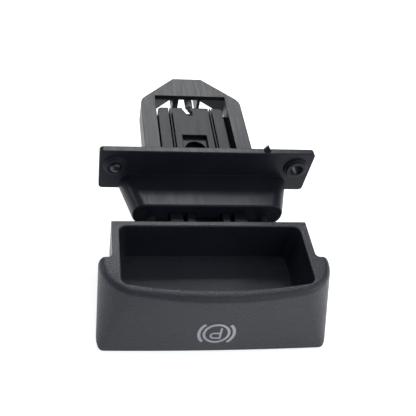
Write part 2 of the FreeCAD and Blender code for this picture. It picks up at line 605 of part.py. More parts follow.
    gap = "Sizes.slot_gap"
    sketch = new_sketch(body, "web_slot_outline", "XZ_Plane", SPRING_SEAT)
    add_rectangle(sketch, "-(%s + %s)" % (TONGUE_HALF, gap), "%s + %s" % (TONGUE_HALF, gap),
                  "-(%s + Sizes.slide_gap)" % TONGUE_FLOOR, "-(%s - %s)" % (WEB_TOP, gap))
    pocket(body, "web_slot", sketch, "Sizes.neck_front_wall", True)
    sketch = new_sketch(body, "bar_slot_outlines", "XZ_Plane", SPRING_SEAT)
    for inner, outer in ((BAR_INNER, TONGUE_HALF),
                         (CHANNEL_HALF, BLOCK_HALF)):
        low, high = "-" + WEB_TOP, "-(Sizes.tongue_top - %s)" % gap
        add_rectangle(sketch, "%s - %s" % (inner, gap), "%s + %s" % (outer, gap), low, high)
        add_rectangle(sketch, "-(%s + %s)" % (outer, gap), "-(%s - %s)" % (inner, gap), low, high)
    pocket(body, "bar_slots", sketch, "Sizes.neck_front_wall", True)

    sketch = new_sketch(body, "stop_hole_outlines", "XZ_Plane", NECK_FRONT)
    for sign in ("", "-"):
        add_circle(sketch, sign + "Sizes.stop_place", "-Sizes.stop_level", "Sizes.stop_stem_radius")
    pocket(body, "stop_holes", sketch, "Sizes.stop_stem_length")

    sketch = new_sketch(body, "spigot_outlines", "XZ_Plane", SPRING_SEAT)
    for sign in ("", "-"):
        add_circle(sketch, sign + SPRING_PLACE, "-Sizes.spring_level", "Sizes.spigot_radius")
    pad(body, "spigots", sketch, "Sizes.spigot_length", True)

    sketch = new_sketch(body, "fixing_hole_outlines", "XZ_Plane", "-Sizes.collar_rise")
    for sign in ("", "-"):
        add_circle(sketch, sign + HOLE_PLACE, "0", "Sizes.hole_radius")
    pocket(body, "fixing_holes", sketch, "%s + Sizes.collar_rise" % BOSS_FRONT, True)

    for side, offset in (("right", "Sizes.frame_half_width - Sizes.gusset_thick"),
                         ("left", "-Sizes.frame_half_width")):
        sketch = new_sketch(body, "gusset_outline_" + side, "YZ_Plane", offset)
        level = "-Sizes.frame_top"
        add_polygon(sketch, [("0", level), ("Sizes.gusset_length", level),
                             ("0", "%s + Sizes.gusset_height" % level)])
        pad(body, "gusset_" + side, sketch, "Sizes.gusset_thick")
    return body


# Slide: the tongue with its guide wings, spring lugs and the tenons that hold it in the grip
def make_slide():
    body = new_body("slide", GRIP_BACK)
    floor = "-" + TONGUE_FLOOR
    height = "Sizes.tongue_height"
    wide, length = TONGUE_HALF, "Sizes.tongue_length"
    sides = ((BAR_INNER, TONGUE_HALF), (CHANNEL_HALF, BLOCK_HALF))

    web = new_sketch(body, "web_outline", "XY_Plane", floor)
    add_rectangle(web, "-" + wide, wide, "0", "%s - Sizes.web_setback" % length)
    pad(body, "web", web, "Sizes.tongue_web")
    sketch = new_sketch(body, "bar_outlines", "XY_Plane", floor)
    add_rectangle(sketch, BAR_INNER, wide, "0", length)
    add_rectangle(sketch, "-" + wide, "-" + BAR_INNER, "0", length)
    add_rectangle(sketch, "-" + BLOCK_HALF, BLOCK_HALF, "0", length)
    pad(body, "bars", sketch, height)
    far, outer = size("tongue_length"), number(TONGUE_HALF)
    fillet(body, "bar_ends",
           lambda e: runs_along(e, "z") and near(extent(e).YMin, far)
           and near(abs(extent(e).XMin), outer), "Sizes.bar_end_round")

    # thin ribs between the bars and the centre block, clear of the neck at full pull
    full_pull = "(Sizes.stop_height + Sizes.neck_front_wall + Sizes.travel + Sizes.slide_gap)"
    inner, outer = "(%s + Sizes.rib_gap)" % BLOCK_HALF, "(%s - Sizes.rib_gap)" % BAR_INNER
    sketch = new_sketch(body, "rib_outlines", "XY_Plane", floor)
    rib_end = "%s - Sizes.web_setback" % length
    add_rectangle(sketch, inner, outer, full_pull, rib_end)
    add_rectangle(sketch, "-" + outer, "-" + inner, full_pull, rib_end)
    pad(body, "ribs", sketch, height)

    sketch = new_sketch(body, "channel_outline", "XY_Plane", "-Sizes.tongue_top")
    half = CHANNEL_HALF
    add_rectangle(sketch, "-" + half, half, "0", "Sizes.channel_step")
    pocket(body, "channel", sketch, "%s - Sizes.tongue_web" % height)
    sketch = new_sketch(body, "recess_outline", "XY_Plane", "-Sizes.tongue_top")
    add_rectangle(sketch, "-" + half, half, "Sizes.channel_step", "Sizes.channel_end")
    pocket(body, "recess", sketch, "Sizes.recess_depth")
    sketch = new_sketch(body, "nipple_pocket_outline", "XY_Plane",
                        "-(Sizes.tongue_top + Sizes.recess_depth)")
    add_circle(sketch, "0", "Sizes.nipple_place", "%s - Sizes.nipple_edge" % half)
    pocket(body, "nipple_pocket", sketch, "Sizes.nipple_depth")
    sketch = new_sketch(body, "cable_tunnel_outline", "XZ_Plane", "-" + length)
    add_circle(sketch, TUNNEL_PLACE, "-(Sizes.tongue_top + Sizes.tunnel_drop)", "Sizes.tunnel_radius")
    pocket(body, "cable_tunnel", sketch, "%s - Sizes.nipple_place" % length, True)

    sketch = new_sketch(body, "notch_outline", "XY_Plane", "-Sizes.tongue_top")
    beyond = "%s + Sizes.tool_clearance" % length
    foot = "%s - Sizes.notch_depth" % length
    add_polygon(sketch, [
        ("-Sizes.notch_mouth_left", beyond), ("-Sizes.notch_mouth_left", "%s - Sizes.notch_lead" % length),
        ("-Sizes.notch_foot_left", foot), ("Sizes.notch_foot_right", foot),
        ("Sizes.notch_foot_right", "%s + Sizes.notch_straight" % foot),
        ("-Sizes.notch_mouth_right", length), ("-Sizes.notch_mouth_right", beyond)])
    pocket(body, "notch", sketch, height)

    # the wings' front ends meet the neck's front wall at full pull
    wing = "(%s + Sizes.wing_reach)" % wide
    sketch = new_sketch(body, "wing_outlines", "XY_Plane", floor)
    add_rectangle(sketch, wide, wing, full_pull, "Sizes.wing_end")
    add_rectangle(sketch, "-" + wing, "-" + wide, full_pull, "Sizes.wing_end")
    pad(body, "wings", sketch, "Sizes.tongue_web")

    lug_front = "(Sizes.stop_height + Sizes.neck_front_wall + Sizes.spring_length)"
    lug_out = "(%s - 2*Sizes.slide_gap)" % FRAME_INNER
    lug_in = "(%s + Sizes.rail_thick + 2*Sizes.slide_gap)" % WINDOW_HALF
    sketch = new_sketch(body, "lug_outlines", "XZ_Plane", "-" + lug_front)
    web_level = "-" + WEB_TOP
    top = "%s + Sizes.lug_height" % floor
    add_polygon(sketch, [(wide, floor), (lug_out, floor), (lug_out, top), (lug_in, top),
                         (lug_in, web_level), (wide, web_level)])
    add_polygon(sketch, [("-" + wide, floor), ("-" + wide, web_level), ("-" + lug_in, web_level),
                         ("-" + lug_in, top), ("-" + lug_out, top), ("-" + lug_out, floor)])
    pad(body, "lugs", sketch, "Sizes.lug_thick", True)
    sketch = new_sketch(body, "lug_spigot_outlines", "XZ_Plane", "-" + lug_front)
    for sign in ("", "-"):
        add_circle(sketch, sign + SPRING_PLACE, "-Sizes.spring_level", "Sizes.spigot_radius")
    pad(body, "lug_spigots", sketch, "Sizes.spigot_length")

    sketch = new_sketch(body, "tenon_outlines", "XZ_Plane")
    for near_side, far_side in sides:
        add_rectangle(sketch, near_side, far_side, floor, "-Sizes.tongue_top")
        add_rectangle(sketch, "-" + far_side, "-" + near_side, floor, "-Sizes.tongue_top")
    pad(body, "tenons", sketch, "Sizes.tenon_depth")
    return body


# Grip: finger cup and fascia in one moulding, in its own frame with the rim at height 0
def make_grip():
    body = new_body("grip", GRIP_BACK, "-Sizes.rim_level")
    bottom, wall, clear = "-Sizes.fascia_height", "Sizes.fascia_wall", "Sizes.tool_clearance"
    top_half = "(Sizes.fascia_half_width - Sizes.fascia_top_inset)"
    upper = new_sketch(body, "fascia_upper", "XY_Plane")
    add_bowed_outline(upper, top_half, "-Sizes.fascia_rear_top",
                      "-Sizes.fascia_front_top", "Sizes.fascia_bow_top", "Sizes.fascia_corner_top")
    lower = new_sketch(body, "fascia_lower", "XY_Plane", bottom)
    add_bowed_outline(lower, "Sizes.fascia_half_width", "-Sizes.fascia_rear_bottom",
                      "-Sizes.fascia_front_bottom", "Sizes.fascia_bow_bottom",
                      "Sizes.fascia_corner_bottom")
    loft(body, "AdditiveLoft", "fascia", upper, lower)
    fillet(body, "fascia_upper_edge",
           lambda e: lies_at(e, "z", 0.0) and not runs_along(e, "x") and not runs_along(e, "y"),
           "Sizes.fascia_round")

    # hollow behind the fascia, open at the rear and underneath
    inner_upper = new_sketch(body, "fascia_hollow_upper", "XY_Plane", "-" + wall)
    add_bowed_outline(inner_upper, "%s - %s" % (top_half, wall),
                      "%s - Sizes.fascia_rear_top" % clear, "%s - Sizes.fascia_front_top" % wall,
                      "Sizes.fascia_bow_top - " + wall, "Sizes.fascia_corner_top - " + wall)
    below = "(%s - %s)" % (bottom, clear)
    inner_lower = new_sketch(body, "fascia_hollow_lower", "XY_Plane", below)
    add_bowed_outline(inner_lower, "Sizes.fascia_half_width - " + wall,
                      "%s - Sizes.fascia_rear_bottom" % clear, "%s - Sizes.fascia_front_bottom" % wall,
                      "Sizes.fascia_bow_bottom - " + wall, "Sizes.fascia_corner_bottom")
    loft(body, "SubtractiveLoft", "fascia_hollow", inner_upper, inner_lower)

    # the ears' rear edges lean forward from the rim to the fascia's foot
    beside = "(Sizes.fascia_half_width + %s)" % clear
    sketch = new_sketch(body, "ear_rear_outline", "YZ_Plane", "-" + beside)
    add_polygon(sketch, [
        ("-Sizes.ear_rear", clear), ("-Sizes.ear_rear", "0"),
        ("-(Sizes.ear_rear + Sizes.ear_lean)", below), (clear, below), (clear, clear)])
    pocket(body, "ear_rear_cut", sketch, "2*" + beside, True)

    # the cup's walls stand under the fascia's top wall, which closes them up to the rim in front
    sketch = new_sketch(body, "cup_outline", "XY_Plane", "-" + wall)
    inner_front = "-(Sizes.cup_back_wall + Sizes.cup_inner_length)"
    add_bowed_outline(sketch, CUP_HALF, "0",
                      "%s - Sizes.cup_front_wall" % inner_front, "Sizes.cup_bow",
                      "Sizes.cup_front_corner + Sizes.cup_side_wall")
    pad(body, "cup_block", sketch, "Sizes.cup_inner_depth + Sizes.cup_floor - " + wall, True)
    sketch = new_sketch(body, "rear_rim_outline", "XY_Plane")
    add_rectangle(sketch, "-" + CUP_HALF, CUP_HALF, "-(Sizes.ear_rear + %s)" % wall, "0")
    pad(body, "rear_rim", sketch, wall, True)
    sketch = new_sketch(body, "ear_inner_corner_outlines", "XY_Plane")
    for side in (-1, 1):
        add_corner(sketch, side, "-" + CUP_HALF, "-Sizes.ear_rear", "Sizes.ear_inner_round", wall)
    pad(body, "ear_inner_corners", sketch, wall, True)

    # stiffening ribs between the cup's front wall and the leaning fascia
    depth = "Sizes.cup_inner_depth"
    lean = "(Sizes.fascia_front_bottom - Sizes.fascia_front_top)*%s/Sizes.fascia_height" % depth
    for side, place in (("right", "Sizes.stiffener_place"), ("left", "-Sizes.stiffener_place")):
        sketch = new_sketch(body, "stiffener_outline_" + side, "YZ_Plane",
                            "%s - Sizes.stiffener_thick/2" % place)
        add_polygon(sketch, [
            (inner_front, "-%s/2" % wall), (inner_front, "-" + depth),
            ("%s/2 - Sizes.fascia_front_top - %s" % (wall, lean), "-" + depth),
            ("%s - Sizes.fascia_front_top" % wall, "-%s/2" % wall)])
        pad(body, "stiffener_" + side, sketch, "Sizes.stiffener_thick")

    cup_mouth = new_sketch(body, "finger_space_mouth", "XY_Plane")
    side = "(%s - Sizes.cup_side_wall)" % CUP_HALF
    add_bowed_outline(cup_mouth, side, "-Sizes.cup_back_wall", inner_front,
                      "Sizes.cup_bow - Sizes.cup_front_wall", "Sizes.cup_front_corner",
                      "Sizes.cup_back_corner")
    cup_floor = new_sketch(body, "finger_space_floor", "XY_Plane", "-Sizes.cup_inner_depth")
    draft = "Sizes.cup_draft"
    add_bowed_outline(cup_floor, "%s - %s" % (side, draft), "-Sizes.cup_back_wall - " + draft,
                      "%s + %s" % (inner_front, draft), "Sizes.cup_bow - Sizes.cup_front_wall",
                      "Sizes.cup_front_corner", "Sizes.cup_back_corner")
    loft(body, "SubtractiveLoft", "finger_space", cup_mouth, cup_floor)
    cup, mouth_front = number(CUP_HALF), number(inner_front)
    fillet(body, "rim_edges",
           lambda e: lies_at(e, "z", 0.0) and extent(e).YMin > mouth_front - 0.02
           and (max(-extent(e).XMin, extent(e).XMax) < cup - 0.02 or lies_at(e, "y", 0.0)),
           "Sizes.rim_round")

    sketch = new_sketch(body, "low_corner_outlines", "XZ_Plane")
    for side in (-1, 1):
        add_corner(sketch, side, "Sizes.fascia_half_width", bottom, "Sizes.fascia_low_corner", clear)
    pocket(body, "low_corners", sketch, "2*Sizes.fascia_front_bottom", True)

    # sockets for the slide's tenons
    sketch = new_sketch(body, "tenon_socket_outlines", "XZ_Plane")
    low, high = "Sizes.rim_level - " + TONGUE_FLOOR, "Sizes.rim_level - Sizes.tongue_top"
    for near_side, far_side in ((BAR_INNER, TONGUE_HALF), (CHANNEL_HALF, BLOCK_HALF)):
        add_rectangle(sketch, near_side, far_side, low, high)
        add_rectangle(sketch, "-" + far_side, "-" + near_side, low, high)
    pocket(body, "tenon_sockets", sketch, "Sizes.tenon_depth", True)
    return body


# Small turned and moulded pieces
def turned_piece(label, profile, axis_place, axis_level, face_y):
    # profile holds (distance in front of the face, radius) pairs, turned about a line along Y
    points = [FreeCAD.Vector(radius, -distance, 0) for distance, radius in profile]
    wire = Part.makePolygon(points + [points[0]])
    feature = doc.addObject("Part::Feature", label)
    feature.Label = label
    feature.Shape = Part.Face(wire).revolve(FreeCAD.Vector(0, 0, 0), FreeCAD.Vector(0, 1, 0), 360)
    feature.Placement = FreeCAD.Placement(
        FreeCAD.Vector(axis_place, face_y, axis_level), FreeCAD.Rotation())
    return feature


def rounded_end(start, end, side_radius, flat_radius):
    # quarter round from a turned piece's side at start onto its end face
    steps = [math.radians(angle) for angle in (0, 45, 90)]
    return [(start + (end - start) * math.sin(t),
             flat_radius + (side_radius - flat_radius) * math.cos(t)) for t in steps]


def make_stop(label, side):
    height = size("stop_height") - size("stop_rest_gap")
    stem, radius, edge = size("stop_stem_length"), size("stop_radius"), size("stop_round")
    profile = [(-stem, 0.0), (-stem, size("stop_stem_radius")), (0.0, size("stop_stem_radius")),
               (0.0, radius)]
    profile += rounded_end(height - edge, height, radius, radius - edge)
    profile.append((height, 0.0))
    return turned_piece(label, profile, side * size("stop_place"), -size("stop_level"),
                        -number(NECK_FRONT))


def make_pin():
    front, collar = number(BOSS_FRONT), size("collar_rise")
    reach, lead, sink = size("pin_reach"), size("pin_lead"), size("pin_sink")
    radius, dome, rise = size("pin_radius"), size("pin_dome_radius"), size("pin_dome_rise")
    profile = [(-reach, 0.0), (-reach, size("pin_tip_radius")), (-reach + lead, radius),
               (-collar, radius), (-collar, size("hole_radius")), (front - sink, size("hole_radius")),
               (front - sink, dome)]
    profile += rounded_end(front + size("pin_dome_side"), front + rise, dome, size("pin_flat_radius"))
    profile.append((front + rise, 0.0))
    return turned_piece("locating_pin", profile, -number(HOLE_PLACE), 0.0, 0.0)


def make_sleeve():
    wall, flange, bore = size("frame_wall"), size("sleeve_flange_thick"), size("sleeve_bore")
    tongue_end = number("%s + Sizes.tongue_length" % GRIP_BACK)
    length = size("frame_length") - tongue_end - size("sleeve_tip_gap")
    barrel, edge = size("sleeve_barrel_radius"), size("sleeve_tip_round")
    neck = size("sleeve_neck_radius")
    profile = [(-flange, bore), (-flange, size("sleeve_flange_radius")),
               (0.0, size("sleeve_flange_radius")), (0.0, neck), (wall, neck), (wall, barrel)]
    profile += rounded_end(length - edge, length, barrel, barrel - edge)
    profile.append((length, bore))
    return turned_piece("cable_sleeve", profile, size("sleeve_place"), -size("sleeve_level"),
                        size("frame_length"))


def make_spring(label, side):
    wire, turns = size("spring_wire"), size("spring_turns")
    radius, length = size("spring_mean_radius"), size("spring_length") - size("spring_wire")
    helix = Part.makeHelix(length / turns, length, radius)
    section = Part.Wire([Part.makeCircle(wire / 2, FreeCAD.Vector(radius, 0, 0),
                                         FreeCAD.Vector(0, 1, 0))])
    coil = Part.Wire(helix).makePipeShell([section], True, True)
    feature = doc.addObject("Part::Feature", label)
    feature.Label = label
    feature.Shape = coil
    turn = FreeCAD.Rotation(FreeCAD.Vector(1, 0, 0), -90)
    place = FreeCAD.Vector(side * number(SPRING_PLACE), -number(SPRING_SEAT) + wire / 2,
                           -size("spring_level"))
    feature.Placement = FreeCAD.Placement(place, turn)
    return feature


pieces = [make_housing(), make_slide(), make_grip(), make_pin(), make_sleeve()]
for label, side in (("left", -1), ("right", 1)):
    pieces.append(make_stop("bump_stop_" + label, side))
    pieces.append(make_spring("return_spring_" + label, side))

doc.recompute()
for item in doc.Objects:
    if "Invalid" in item.State or "Error" in item.State:
        raise ValueError("failed: " + item.Label)
for piece in pieces:
    if piece.Shape.isNull() or not piece.Shape.isValid():
        raise ValueError("bad shape: " + piece.Label)

os.makedirs("parts", exist_ok=True)
for piece in pieces:
    piece.Shape.exportStep("parts/%s.step" % piece.Label)
    print("%-22s %9.1f mm3 %d solid(s)" % (piece.Label, piece.Shape.Volume, len(piece.Shape.Solids)))
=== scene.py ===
import math
import bmesh
import bpy
from mathutils import Matrix, Vector
from mathutils.bvhtree import BVHTree


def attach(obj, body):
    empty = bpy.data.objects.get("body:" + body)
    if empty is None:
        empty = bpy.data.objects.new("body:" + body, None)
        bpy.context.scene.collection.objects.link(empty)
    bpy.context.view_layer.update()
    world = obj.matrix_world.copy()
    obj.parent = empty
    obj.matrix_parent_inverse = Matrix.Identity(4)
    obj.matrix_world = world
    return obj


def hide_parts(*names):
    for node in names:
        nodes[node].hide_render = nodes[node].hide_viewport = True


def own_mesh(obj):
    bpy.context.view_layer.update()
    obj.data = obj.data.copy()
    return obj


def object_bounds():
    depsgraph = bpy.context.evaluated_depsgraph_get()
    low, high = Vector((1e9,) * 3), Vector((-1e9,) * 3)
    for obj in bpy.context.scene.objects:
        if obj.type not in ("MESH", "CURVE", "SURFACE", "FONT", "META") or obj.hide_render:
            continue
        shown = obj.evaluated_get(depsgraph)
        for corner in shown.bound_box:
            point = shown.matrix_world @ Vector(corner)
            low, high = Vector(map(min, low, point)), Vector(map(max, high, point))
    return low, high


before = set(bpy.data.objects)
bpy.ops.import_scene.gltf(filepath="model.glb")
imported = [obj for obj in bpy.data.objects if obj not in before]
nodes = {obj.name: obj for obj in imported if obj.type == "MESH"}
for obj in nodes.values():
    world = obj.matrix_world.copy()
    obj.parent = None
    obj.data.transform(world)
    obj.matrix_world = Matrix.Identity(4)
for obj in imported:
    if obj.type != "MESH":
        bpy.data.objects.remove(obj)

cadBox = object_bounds()
imageSize = 416                     # pixels, both ways
millimetre = 0.001


# Camera and stage

cameraSetup = {
    "focalPixels": 567.3,
    "centreColumn": 140.0,          # where the lens axis meets the picture
    "elevation": 48.94,             # degrees above the horizon
    "roll": -6.79,
    "yaw": 8.39,
    "position": (-45.3, -151.6, 148.7),
    "sensor": 36.0,
    "nearest": 0.01,
    "farthest": 20.0,
}


def makeCamera(setup):
    e, r, yaw = (math.radians(setup[key]) for key in ("elevation", "roll", "yaw"))
    forward = Vector((math.sin(yaw) * math.cos(e), math.cos(yaw) * math.cos(e), -math.sin(e)))
    level = Vector((math.cos(yaw), -math.sin(yaw), 0))
    down = forward.cross(level)
    right = level * math.cos(r) + down * math.sin(r)
    below = down * math.cos(r) - level * math.sin(r)
    data = bpy.data.cameras.new("photoCamera")
    data.sensor_width = setup["sensor"]
    data.lens = setup["focalPixels"] * setup["sensor"] / imageSize
    data.shift_x = (imageSize / 2 - setup["centreColumn"]) / imageSize
    data.clip_start = setup["nearest"]
    data.clip_end = setup["farthest"]
    camera = bpy.data.objects.new("photoCamera", data)
    bpy.context.scene.collection.objects.link(camera)
    turn = Matrix((right, -below, -forward)).transposed()
    camera.matrix_world = Matrix.Translation(Vector(setup["position"]) * millimetre) @ turn.to_4x4()
    bpy.context.scene.camera = camera
    return camera


makeCamera(cameraSetup)
print("camera placed")

stageSetup = {
    "floorSize": 6.0,
    "floorDrop": 0.0004,
    "floorColour": (0.86, 0.86, 0.86, 1),
    "floorRoughness": 0.9,
    "floorSpecular": 0.1,
    "floorGlow": 0.58,              # lifts the floor to white, only where it is looked at
    "worldColour": (0.82, 0.90, 1.0, 1),
    "worldStrength": 0.38,
}


def makeStage(setup):
    floorMesh = bmesh.new()
    bmesh.ops.create_grid(floorMesh, x_segments=1, y_segments=1, size=setup["floorSize"] / 2)
    level = cadBox[0].z - setup["floorDrop"]
    bmesh.ops.translate(floorMesh, verts=floorMesh.verts, vec=(0, 0, level))
    data = bpy.data.meshes.new("floor")
    floorMesh.to_mesh(data)
    floorMesh.free()
    floor = bpy.data.objects.new("floor", data)
    bpy.context.scene.collection.objects.link(floor)
    material = bpy.data.materials.new("paleFloor")
    material.use_nodes = True
    tree = material.node_tree
    shader = tree.nodes["Principled BSDF"]
    shader.inputs["Base Color"].default_value = setup["floorColour"]
    shader.inputs["Roughness"].default_value = setup["floorRoughness"]
    shader.inputs["Specular IOR Level"].default_value = setup["floorSpecular"]
    rays = tree.nodes.new("ShaderNodeLightPath")
    glow = tree.nodes.new("ShaderNodeMath")
    glow.operation = "MULTIPLY"
    glow.inputs[1].default_value = setup["floorGlow"]
    seen = rays.outputs["Is Camera Ray"]
    for kind in ("Is Glossy Ray", "Is Transmission Ray"):
        either = tree.nodes.new("ShaderNodeMath")
        either.operation = "MAXIMUM"
        tree.links.new(seen, either.inputs[0])
        tree.links.new(rays.outputs[kind], either.inputs[1])
        seen = either.outputs["Value"]
    tree.links.new(seen, glow.inputs[0])
    tree.links.new(glow.outputs["Value"], shader.inputs["Emission Strength"])
    shader.inputs["Emission Color"].default_value = (1, 1, 1, 1)
    data.materials.append(material)

    world = bpy.data.worlds.new("studio")
    world.use_nodes = True
    bpy.context.scene.world = world
    tree = world.node_tree
    background = tree.nodes["Background"]
    background.inputs["Color"].default_value = setup["worldColour"]
    background.inputs["Strength"].default_value = setup["worldStrength"]


makeStage(stageSetup)


# Lamps: area lights aimed at the middle of the part

lampSetup = {
    "back": {"at": (0.12, 0.8, 0.76), "size": 0.5, "power": 8.0},
    "above": {"at": (-0.05, 0.12, 0.9), "size": 0.16, "power": 0.4},
    "left": {"at": (-0.8, 0.25, 0.4), "size": 0.3, "power": 0.9},
    "front": {"at": (0.3, -0.8, 0.65), "size": 0.45, "power": 1.4},
    "right": {"at": (0.8, -0.3, 0.5), "size": 0.5, "power": 2.4},
}
lampTarget = Vector((0, -0.01, -0.01))


def makeLamps(setup, target):
    for name, values in setup.items():
        data = bpy.data.lights.new(name, "AREA")
        data.energy = values["power"]
        data.size = values["size"]
        lamp = bpy.data.objects.new(name, data)
        bpy.context.scene.collection.objects.link(lamp)
        place = Vector(values["at"])
        lamp.location = place
        lamp.rotation_mode = "QUATERNION"
        lamp.rotation_quaternion = (target - place).to_track_quat("-Z", "Y")


makeLamps(lampSetup, lampTarget)
bpy.context.scene.view_settings.view_transform = "Standard"
print("stage and lamps set")


# Shared effects

def socket(group, name, direction, kind, value=None):
    made = group.interface.new_socket(name=name, in_out=direction, socket_type=kind)
    if value is not None:
        made.default_value = value
    return made


grainSetup = {
    "bandLow": 0.3,                 # the middle part of each noise that is spread out
    "bandHigh": 0.7,
    "grainDetail": 3,
    "grainRoughness": 0.65,
    "driftDetail": 4,
    "streakStretch": (1.0, 0.06, 1.0),
    "streakScale": 900.0,
    "streakDetail": 2,
    "edgeRadius": 0.00045,          # radius that moulded edges seem to have
    "edgeSamples": 6,
}


def makeGrainGroup(setup):
    # moulded plastic: fine grain, a slow drift of colour, flow streaks along Y and softened edges
    group = bpy.data.node_groups.new("mouldedGrain", "ShaderNodeTree")
    socket(group, "Grain Scale", "INPUT", "NodeSocketFloat", 2500)
    socket(group, "Drift Scale", "INPUT", "NodeSocketFloat", 60)
    socket(group, "Dark", "INPUT", "NodeSocketColor", (0.01, 0.01, 0.01, 1))
    socket(group, "Light", "INPUT", "NodeSocketColor", (0.02, 0.02, 0.02, 1))
    socket(group, "Rough Low", "INPUT", "NodeSocketFloat", 0.4)
    socket(group, "Rough High", "INPUT", "NodeSocketFloat", 0.55)
    socket(group, "Streak", "INPUT", "NodeSocketFloat", 0.0)
    socket(group, "Grain Bump", "INPUT", "NodeSocketFloat", 0.2)
    socket(group, "Grain Depth", "INPUT", "NodeSocketFloat", 0.0001)
    socket(group, "Colour", "OUTPUT", "NodeSocketColor")
    socket(group, "Roughness", "OUTPUT", "NodeSocketFloat")
    socket(group, "Normal", "OUTPUT", "NodeSocketVector")
    make, link = group.nodes.new, group.links.new
    inlet, outlet = make("NodeGroupInput"), make("NodeGroupOutput")
    place = make("ShaderNodeTexCoord")
    grain = make("ShaderNodeTexNoise")
    grain.inputs["Detail"].default_value = setup["grainDetail"]
    grain.inputs["Roughness"].default_value = setup["grainRoughness"]
    drift = make("ShaderNodeTexNoise")
    drift.inputs["Detail"].default_value = setup["driftDetail"]
    link(place.outputs["Object"], grain.inputs["Vector"])
    link(place.outputs["Object"], drift.inputs["Vector"])
    link(inlet.outputs["Grain Scale"], grain.inputs["Scale"])
    link(inlet.outputs["Drift Scale"], drift.inputs["Scale"])
    spread = make("ShaderNodeMapRange")
    spread.inputs["From Min"].default_value = setup["bandLow"]
    spread.inputs["From Max"].default_value = setup["bandHigh"]
    link(drift.outputs["Fac"], spread.inputs["Value"])
    mix = make("ShaderNodeMix")
    mix.data_type = "RGBA"
    link(spread.outputs["Result"], mix.inputs["Factor"])
    link(inlet.outputs["Dark"], mix.inputs["A"])
    link(inlet.outputs["Light"], mix.inputs["B"])
    link(mix.outputs["Result"], outlet.inputs["Colour"])

    stretch = make("ShaderNodeMapping")
    stretch.inputs["Scale"].default_value = setup["streakStretch"]
    streak = make("ShaderNodeTexNoise")
    streak.inputs["Scale"].default_value = setup["streakScale"]
    streak.inputs["Detail"].default_value = setup["streakDetail"]
    link(place.outputs["Object"], stretch.inputs["Vector"])
    link(stretch.outputs["Vector"], streak.inputs["Vector"])
    blend = make("ShaderNodeMix")
    link(inlet.outputs["Streak"], blend.inputs["Factor"])
    link(grain.outputs["Fac"], blend.inputs["A"])
    link(streak.outputs["Fac"], blend.inputs["B"])
    rough = make("ShaderNodeMapRange")
    rough.inputs["From Min"].default_value = setup["bandLow"]
    rough.inputs["From Max"].default_value = setup["bandHigh"]
    link(blend.outputs["Result"], rough.inputs["Value"])
    link(inlet.outputs["Rough Low"], rough.inputs["To Min"])
    link(inlet.outputs["Rough High"], rough.inputs["To Max"])
    link(rough.outputs["Result"], outlet.inputs["Roughness"])

    edge = make("ShaderNodeBevel")
    edge.samples = setup["edgeSamples"]
    edge.inputs["Radius"].default_value = setup["edgeRadius"]
    bump = make("ShaderNodeBump")
    link(inlet.outputs["Grain Bump"], bump.inputs["Strength"])
    link(inlet.outputs["Grain Depth"], bump.inputs["Distance"])
    link(blend.outputs["Result"], bump.inputs["Height"])
    link(edge.outputs["Normal"], bump.inputs["Normal"])
    link(bump.outputs["Normal"], outlet.inputs["Normal"])
    return group


coatRoughness = 0.14                # the thin shine that moulded skin has over its grain
grainGroup = makeGrainGroup(grainSetup)


def makePlastic(name, values):
    material = bpy.data.materials.new(name)
    material.use_nodes = True
    tree = material.node_tree
    shader = tree.nodes["Principled BSDF"]
    grain = tree.nodes.new("ShaderNodeGroup")
    grain.node_tree = grainGroup
    for key in grain.inputs.keys():
        grain.inputs[key].default_value = values[key]
    tree.links.new(grain.outputs["Colour"], shader.inputs["Base Color"])
    tree.links.new(grain.outputs["Roughness"], shader.inputs["Roughness"])
    tree.links.new(grain.outputs["Normal"], shader.inputs["Normal"])
    shader.inputs["Specular IOR Level"].default_value = values["specular"]
    shader.inputs["Metallic"].default_value = values.get("metallic", 0.0)
    shader.inputs["Coat Weight"].default_value = values.get("coat", 0.0)
    shader.inputs["Coat Roughness"].default_value = coatRoughness
    return material


